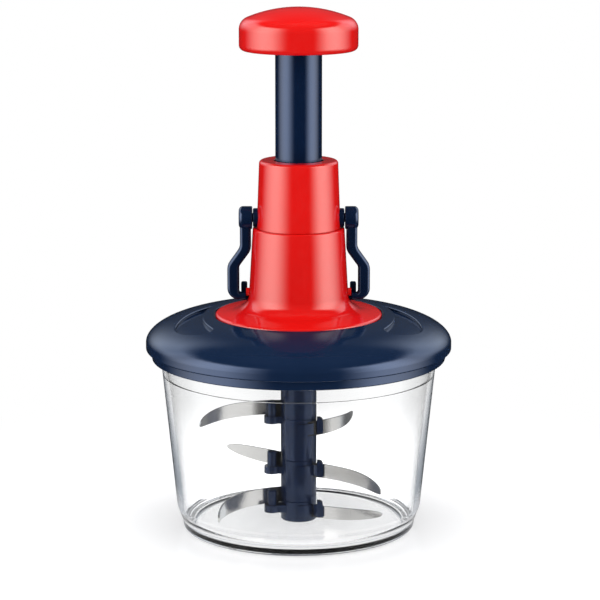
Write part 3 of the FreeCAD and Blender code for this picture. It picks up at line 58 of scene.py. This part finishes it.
# ---------------------------------------------------------------- world
# The sides mirror two panels, and the back a band of light behind the object.  Each is given
# by azimuths from the front or heights above the horizon, where it starts, is full, fades and
# ends.
LEFT_PANEL = (0.30, 1.10, 1.20, 2.25)
RIGHT_PANEL = (0.48, 1.15, 1.25, 2.20)
PANEL_HEIGHT = (-0.75, 0.05, 0.58, 0.80)
PANEL_LIGHT = 4.1
BACK_HEIGHT = (-0.10, 0.40, 0.62, 0.85)
# where something starts and is full
BACK_AZIMUTH = (1.7, 2.1)
TINT_AZIMUTH = (1.7, 2.2)
BACK_TINT = (0.82, 0.90, 1.0)
# two azimuths or heights, and the strengths at them; WALL_LIGHT is for the bowl's own wall
BACK_LIGHT = (2.45, 3.0, 1.6, 0.05)
CEILING = (-0.10, 0.30, 0.02, 0.05)
WALL_LIGHT = (0.5, 1.2, 0.15, 0.55)
# lowest and highest strength that pieces in the bowl mirror
BLADE_LIGHT = (0.05, 0.86)
AMBIENT = 0.62

# ---------------------------------------------------------------- floor
FLOOR_WIDTH = 12
FLOOR_COLOUR = (0.86, 0.86, 0.87, 1)
FLOOR_ROUGHNESS = 0.16
FLOOR_SPECULAR = 0.3
# glow as the camera sees the floor, straight and through the bowl
FLOOR_LIFT = 0.33
BOWL_FLOOR_LIFT = 1.0
# distances from the object's axis between which the floor turns white for the camera, and
# vanishes for what mirrors it
FLOOR_FADE = (0.10, 0.30)
FLOOR_OPEN = (0.06, 0.12)
# distances to the side between which the floor comes to light the bowl's wall
FLOOR_SIDE = (0.08, 0.25)
# two distances from the axis, and the glow there that pieces in the bowl mirror
FLOOR_INNER = (0.060, 0.075, 0.6, 0.06)

# ---------------------------------------------------------------- lamps and camera
LAMP_TARGET = (0, 0, 0.16)
SIDE_LAMP = {"width": 0.9, "height": 0.9, "power": 4.0}
SIDE_LAMP_PLACE = (0.85, -0.55, 0.45)
TOP_LAMP = {"width": 1.2, "height": 1.0, "power": 10.5}
TOP_LAMP_PLACE = (0, 0.1, 1.3)
CAMERA_PLACE = (0, -1.260, 0.385)
CAMERA_TARGET = (0, 0, 0.1278)
SENSOR_WIDTH = 36
LENS = 139
SHIFT_X = 0.0023

# a ray's depth lies above these after its first bounce, and after its third pass of a surface
FIRST = 0.5
THIRD = 2.5


# ---------------------------------------------------------------- node helpers
class Graph:
    """A material's node tree, with short calls for making and joining nodes."""

    def __init__(self, name):
        self.material = bpy.data.materials.new(name)
        self.material.use_nodes = True
        self.tree = self.material.node_tree
        self.shader = self.tree.nodes["Principled BSDF"]
        self.output = self.tree.nodes["Material Output"]
        self.coords = self.node("ShaderNodeTexCoord")

    def node(self, kind):
        return self.tree.nodes.new(kind)

    def link(self, source, target):
        self.tree.links.new(source, target)

    def set(self, **values):
        """Constants on the shader's own sockets, such as Base_Color for Base Color."""
        for name, value in values.items():
            self.shader.inputs[name.replace("_", " ")].default_value = value

    def noise(self, scale, detail, stretch=(1, 1, 1)):
        mapped = self.node("ShaderNodeMapping")
        mapped.inputs["Scale"].default_value = stretch
        self.link(self.coords.outputs["Object"], mapped.inputs["Vector"])
        made = self.node("ShaderNodeTexNoise")
        made.inputs["Scale"].default_value = scale
        made.inputs["Detail"].default_value = detail
        self.link(mapped.outputs["Vector"], made.inputs["Vector"])
        return made.outputs["Fac"]

    def spread(self, value, source, target):
        """Maps one pair of limits onto another."""
        made = self.node("ShaderNodeMapRange")
        names = ("From Min", "From Max", "To Min", "To Max")
        for name, limit in zip(names, (*source, *target)):
            made.inputs[name].default_value = limit
        self.link(value, made.inputs["Value"])
        return made.outputs["Result"]

    def vary_colour(self, value, first, second):
        share = self.spread(value, NOISE_RANGE, (0, 1))
        colour = mix_colours(self.tree, share, (*first, 1), (*second, 1))
        self.link(colour, self.shader.inputs["Base Color"])
        return colour

    def paint_reflection_darker(self, colour, painted_darkening):
        """Paints a share of a colour dark where another glossy piece mirrors it: a painted darker
        reflection.
        """
        maths = Maths(self.tree)
        path = self.node("ShaderNodeLightPath")
        share = maths.do("MULTIPLY", path.outputs["Is Glossy Ray"], painted_darkening)
        dimmed = mix_colours(self.tree, share, colour, BLACK)
        self.link(dimmed, self.shader.inputs["Base Color"])

    def paint_root_shade(self, colour, near, far, painted_darkening):
        """Painted shade: darkens a colour towards the object's axis, from the far to the near
        distance.
        """
        flat = self.node("ShaderNodeVectorMath")
        flat.operation = "MULTIPLY"
        flat.inputs[1].default_value = (1, 1, 0)
        self.link(self.coords.outputs["Object"], flat.inputs[0])
        away = distance(self.tree, flat.outputs["Vector"])
        share = self.spread(away, (near, far), (painted_darkening, 0))
        shaded = mix_colours(self.tree, share, colour, BLACK)
        self.link(shaded, self.shader.inputs["Base Color"])

    def vary_roughness(self, value, roughness, shares):
        limits = [roughness * share for share in shares]
        self.link(self.spread(value, NOISE_RANGE, limits), self.shader.inputs["Roughness"])

    def bump(self, value, relief):
        made = self.node("ShaderNodeBump")
        made.inputs["Distance"].default_value = relief
        made.inputs["Strength"].default_value = 1.0
        self.link(value, made.inputs["Height"])
        self.link(made.outputs["Normal"], self.shader.inputs["Normal"])


class Maths:
    """Short calls for maths nodes in a node tree."""

    def __init__(self, tree):
        self.tree = tree

    def put(self, node, sockets, values):
        for socket, value in zip(sockets, values):
            if isinstance(value, (int, float)):
                socket.default_value = value
            else:
                self.tree.links.new(value, socket)
        return node

    def do(self, operation, *values):
        made = self.tree.nodes.new("ShaderNodeMath")
        made.operation = operation
        return self.put(made, made.inputs, values).outputs[0]

    def times(self, first, *others):
        for other in others:
            first = self.do("MULTIPLY", first, other)
        return first

    def without(self, share):
        return self.do("SUBTRACT", 1.0, share)

    def ramp(self, value, low, high, first=0.0, second=1.0):
        """Smooth step from one value to another between two limits."""
        made = self.tree.nodes.new("ShaderNodeMapRange")
        made.interpolation_type = "SMOOTHSTEP"
        names = ("Value", "From Min", "From Max", "To Min", "To Max")
        sockets = [made.inputs[name] for name in names]
        return self.put(made, sockets, (value, low, high, first, second)).outputs["Result"]

    def band(self, value, start, full, fading, end):
        """Rises between the first two limits and falls between the last two."""
        return self.times(self.ramp(value, start, full), self.ramp(value, fading, end, 1.0, 0.0))

    def mix(self, share, first, second):
        """first where share is 0 and second where it is 1."""
        return self.do("ADD", self.times(self.without(share), first), self.times(share, second))


def mix_colours(tree, share, first, second):
    """Colour output that is first where share is 0 and second where it is 1."""
    made = tree.nodes.new("ShaderNodeMix")
    made.data_type = "RGBA"
    tree.links.new(share, made.inputs["Factor"])
    for name, colour in (("A", first), ("B", second)):
        if isinstance(colour, tuple):
            made.inputs[name].default_value = colour
        else:
            tree.links.new(colour, made.inputs[name])
    return [socket for socket in made.outputs if socket.type == "RGBA"][0]


def distance(tree, point):
    """How far a point is from the origin."""
    made = tree.nodes.new("ShaderNodeVectorMath")
    made.operation = "LENGTH"
    tree.links.new(point, made.inputs[0])
    return made.outputs["Value"]


def mix_shaders(tree, share, first, second):
    """Shader output that is first where share is 0 and second where it is 1."""
    made = tree.nodes.new("ShaderNodeMixShader")
    for source, socket in zip((share, first, second), made.inputs):
        tree.links.new(source, socket)
    return made.outputs[0]


# ---------------------------------------------------------------- materials
def moulded(name, first, second, sheen, roughness, painted_darkening=0.0):
    """Glossy moulded plastic: faint flow lines, handling marks and fine orange peel.

    The last argument is the share of its colour painted out where other glossy pieces mirror it:
    a painted darker reflection.
    """
    g = Graph(name)
    colour = g.vary_colour(g.noise(scale=35, detail=4), first, second)
    # painted reflection: the colour shows darker where other glossy pieces mirror it
    if painted_darkening:
        g.paint_reflection_darker(colour, painted_darkening)
    g.vary_roughness(g.noise(scale=220, detail=5), roughness, PLASTIC_SPREAD)
    g.set(IOR=PLASTIC_IOR, Specular_IOR_Level=PLASTIC_SPECULAR, Specular_Tint=(*sheen, 1))
    g.bump(g.noise(scale=160, detail=2), ORANGE_PEEL)
    return g.material


def steel(name, colour, roughness, stretch, root_shade=None):
    """Brushed steel with streaks along one direction, and painted shade towards its root if it
    has one.
    """
    g = Graph(name)
    streak = tuple(c * STEEL_STREAK for c in colour)
    varied = g.vary_colour(g.noise(scale=120, detail=4, stretch=stretch), streak, colour)
    # painted shade: the blades are darkened towards the hub
    if root_shade:
        g.paint_root_shade(varied, *root_shade)
    g.set(Metallic=1.0)
    g.vary_roughness(g.noise(scale=300, detail=4, stretch=stretch), roughness, STEEL_SPREAD)
    g.bump(g.noise(scale=500, detail=3, stretch=stretch), STEEL_GRAIN)
    return g.material


def clear_plastic(name):
    """Clear moulded plastic whose shadow is light, as light passes through it."""
    g = Graph(name)
    g.vary_colour(g.noise(scale=12, detail=2), *CLEAR_COLOURS)
    g.set(Transmission_Weight=1.0, IOR=CLEAR_IOR, Specular_IOR_Level=CLEAR_SPECULAR)
    g.vary_roughness(g.noise(scale=60, detail=3), CLEAR_ROUGHNESS, CLEAR_SPREAD)
    g.bump(g.noise(scale=24, detail=2), CLEAR_WAVES)
    path = g.node("ShaderNodeLightPath")
    passing = g.node("ShaderNodeBsdfTransparent")
    passing.inputs["Color"].default_value = CLEAR_SHADOW
    mixed = mix_shaders(g.tree, path.outputs["Is Shadow Ray"],
                        g.shader.outputs[0], passing.outputs[0])
    g.link(mixed, g.output.inputs["Surface"])
    return g.material


def matte(name, first, second, roughness):
    """Dull nylon or rubber."""
    g = Graph(name)
    g.vary_colour(g.noise(scale=60, detail=4), first, second)
    g.vary_roughness(g.noise(scale=180, detail=4), roughness, MATTE_SPREAD)
    g.bump(g.noise(scale=400, detail=3), MATTE_GRAIN)
    return g.material


RED = moulded("red_gloss", (0.72, 0.006, 0.005), (0.77, 0.007, 0.006), RED_SHEEN,
              roughness=0.12, painted_darkening=RED_REFLECTION_DARKENING)
NAVY = moulded("navy_gloss", (0.0025, 0.0100, 0.034), (0.0032, 0.0115, 0.038), NAVY_SHEEN,
               roughness=0.12)
LID = moulded("navy_lid", (0.0050, 0.0150, 0.044), (0.0060, 0.0170, 0.048), NAVY_SHEEN,
              roughness=0.12)
# painted light: a lighter, bluer copy of the navy for the column and hub, standing in for light
# it lacks in the shade under the lid
COLUMN_LIGHTENED = moulded("navy_column_lightened", (0.0045, 0.0140, 0.050), (0.0055, 0.0160, 0.055), NAVY_SHEEN,
                 roughness=0.16)
CLEAR = clear_plastic("clear_bowl")
BLADE = steel("blade_steel", (0.84, 0.83, 0.81), roughness=0.16, stretch=(1, 1, 14),
              root_shade=BLADE_ROOT_SHADE)
STEEL = steel("plain_steel", (0.6, 0.6, 0.61), roughness=0.3, stretch=(4, 4, 1))
INNER = matte("inner_nylon", (0.72, 0.72, 0.7), (0.8, 0.8, 0.78), roughness=0.45)
RUBBER = matte("seal_rubber", (0.02, 0.02, 0.022), (0.035, 0.035, 0.038), roughness=0.7)

GROUPS = {
    "bowl": CLEAR,
    "lid_shell": LID,
    "lid_gasket": RUBBER,
    "bell_housing": RED, "upper_collar": RED, "knob": RED,
    "carrier_core": COLUMN_LIGHTENED, "hub_lower": COLUMN_LIGHTENED, "hub_middle": COLUMN_LIGHTENED, "hub_upper": COLUMN_LIGHTENED,
    "housing_screws": STEEL, "underplate_screws": STEEL, "knob_screw": STEEL,
    "thrust_washer": STEEL, "retaining_clip": STEEL, "coupling_pin": STEEL,
    "return_spring": STEEL, "bowl_pivot_pin": STEEL,
    "guide_bush": INNER, "spindle_bearing": INNER, "carrier_foot_bush": INNER,
    "drive_nut": INNER, "spindle": INNER, "drive_coupling": INNER,
    "guide_sleeve": INNER, "bearing_cup": INNER,
}


def material_for(node):
    """The arms, pins, tube, stops, underplate and cap are the plain navy ones."""
    if node.startswith("blade_"):
        return BLADE
    return GROUPS.get(node, NAVY)


for node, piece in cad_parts.items():
    piece.data.materials.clear()
    piece.data.materials.append(material_for(node))


# ---------------------------------------------------------------- stage
def ray_kinds(maths):
    """Shares, 0 or 1, of the rays that arrive: seen by the camera straight or through the
    clear bowl, reflected inside the bowl's wall, mirrored by a glossy surface, and any that
    went through the bowl.

    Light sampling also asks here with no ray kind set, and is told that nothing is seen.
    """
    path = maths.tree.nodes.new("ShaderNodeLightPath").outputs
    bounces = maths.do("ADD", path["Diffuse Depth"], path["Glossy Depth"])
    straight = maths.do("LESS_THAN", bounces, FIRST)
    mirrored = maths.times(maths.do("GREATER_THAN", path["Glossy Depth"], FIRST),
                           maths.do("LESS_THAN", path["Diffuse Depth"], FIRST))
    through = maths.do("GREATER_THAN", path["Transmission Depth"], FIRST)
    inside = maths.do("GREATER_THAN", path["Transmission Depth"], THIRD)
    traced = maths.do("MAXIMUM",
                      maths.do("MAXIMUM", path["Is Camera Ray"], path["Is Diffuse Ray"]),
                      maths.do("MAXIMUM", path["Is Glossy Ray"], path["Is Transmission Ray"]))
    seen = maths.times(straight, traced)
    in_wall = maths.times(through, maths.without(inside), mirrored, traced)
    return seen, in_wall, mirrored, through


def studio():
    """White backdrop, plain ambient light, and the panels that glossy surfaces mirror."""
    world = bpy.data.worlds.new("studio")
    bpy.context.scene.world = world
    world.use_nodes = True
    # the panels reach glossy surfaces by traced rays alone, so the world is no lamp
    world.cycles.sampling_method = "NONE"
    tree = world.node_tree
    maths = Maths(tree)
    seen, in_wall, mirrored, through = ray_kinds(maths)
    coords = tree.nodes.new("ShaderNodeTexCoord")
    split = tree.nodes.new("ShaderNodeSeparateXYZ")
    tree.links.new(coords.outputs["Generated"], split.inputs[0])
    x, y, z = split.outputs
    azimuth = maths.do("ARCTAN2", maths.do("ABSOLUTE", x), maths.times(y, -1.0))
    height = maths.do("ARCSINE", z)
    right = maths.do("GREATER_THAN", x, 0.0)

    panels = maths.mix(right, maths.band(azimuth, *LEFT_PANEL), maths.band(azimuth, *RIGHT_PANEL))
    panels = maths.times(panels, maths.band(height, *PANEL_HEIGHT), PANEL_LIGHT)
    back = maths.times(maths.ramp(azimuth, *BACK_AZIMUTH), maths.band(height, *BACK_HEIGHT),
                       maths.ramp(azimuth, *BACK_LIGHT))
    light = maths.do("ADD", maths.do("ADD", panels, back), maths.ramp(height, *CEILING))
    lowest, highest = BLADE_LIGHT
    soft = maths.do("MINIMUM", maths.do("MAXIMUM", light, lowest), highest)
    light = maths.mix(through, light, soft)
    light = maths.mix(in_wall, light, maths.ramp(azimuth, *WALL_LIGHT))
    light = maths.mix(mirrored, AMBIENT, light)

    background = tree.nodes["Background"]
    tint = maths.times(maths.ramp(azimuth, *TINT_AZIMUTH), mirrored, maths.without(seen))
    colour = mix_colours(tree, tint, WHITE, (*BACK_TINT, 1))
    tree.links.new(colour, background.inputs["Color"])
    tree.links.new(maths.mix(seen, light, 1.0), background.inputs["Strength"])


def floor_material():
    """Pale floor that keeps the object's shadow near it and is white further out."""
    material = bpy.data.materials.new("floor")
    material.use_nodes = True
    tree = material.node_tree
    maths = Maths(tree)
    seen, in_wall, mirrored, through = ray_kinds(maths)
    coords = tree.nodes.new("ShaderNodeTexCoord")
    split = tree.nodes.new("ShaderNodeSeparateXYZ")
    tree.links.new(coords.outputs["Object"], split.inputs[0])
    away = distance(tree, coords.outputs["Object"])

    beside = maths.ramp(maths.do("ABSOLUTE", split.outputs["X"]), *FLOOR_SIDE)
    inner = maths.times(mirrored, through, maths.ramp(away, *FLOOR_INNER))
    bright = maths.do("MAXIMUM", maths.do("MAXIMUM", seen, maths.times(in_wall, beside)), inner)
    shader = tree.nodes["Principled BSDF"]
    shader.inputs["Base Color"].default_value = FLOOR_COLOUR
    shader.inputs["Roughness"].default_value = FLOOR_ROUGHNESS
    shader.inputs["Specular IOR Level"].default_value = FLOOR_SPECULAR
    shader.inputs["Emission Color"].default_value = WHITE
    lift = maths.times(bright, maths.mix(through, FLOOR_LIFT, BOWL_FLOOR_LIFT))
    tree.links.new(lift, shader.inputs["Emission Strength"])

    white = tree.nodes.new("ShaderNodeEmission")
    white.inputs["Color"].default_value = WHITE
    faded = mix_shaders(tree, maths.times(bright, maths.ramp(away, *FLOOR_FADE)),
                        shader.outputs[0], white.outputs[0])
    clear = tree.nodes.new("ShaderNodeBsdfTransparent")
    far = maths.times(maths.ramp(away, *FLOOR_OPEN), mirrored, maths.without(bright))
    opened = mix_shaders(tree, far, faded, clear.outputs[0])
    tree.links.new(opened, tree.nodes["Material Output"].inputs["Surface"])
    return material


def aimed(data, name, place, target):
    """Object for a lamp or camera, turned towards a point."""
    holder = bpy.data.objects.new(name, data)
    holder.location = place
    aim = Vector(target) - Vector(place)
    holder.rotation_euler = aim.to_track_quat("-Z", "Y").to_euler()
    bpy.context.scene.collection.objects.link(holder)
    return holder


def softbox(name, place, width, height, power):
    """Wide lamp that lights without a reflection of its own."""
    light = bpy.data.lights.new(name, "AREA")
    light.shape = "RECTANGLE"
    light.size = width
    light.size_y = height
    light.energy = power
    holder = aimed(light, name, place, LAMP_TARGET)
    holder.visible_glossy = False
    holder.visible_transmission = False


studio()
bpy.ops.mesh.primitive_plane_add(size=FLOOR_WIDTH, location=(0, 0, 0))
floor = bpy.context.object
floor.name = "floor"
floor.data.materials.append(floor_material())

aside, before, above = SIDE_LAMP_PLACE
for side in (-1, 1):
    softbox("side_box", (side * aside, before, above), **SIDE_LAMP)
softbox("top_box", TOP_LAMP_PLACE, **TOP_LAMP)

camera_data = bpy.data.cameras.new("camera")
camera_data.sensor_width = SENSOR_WIDTH
camera_data.lens = LENS
camera_data.shift_x = SHIFT_X
bpy.context.scene.camera = aimed(camera_data, "camera", CAMERA_PLACE, CAMERA_TARGET)
bpy.context.scene.view_settings.view_transform = "Standard"
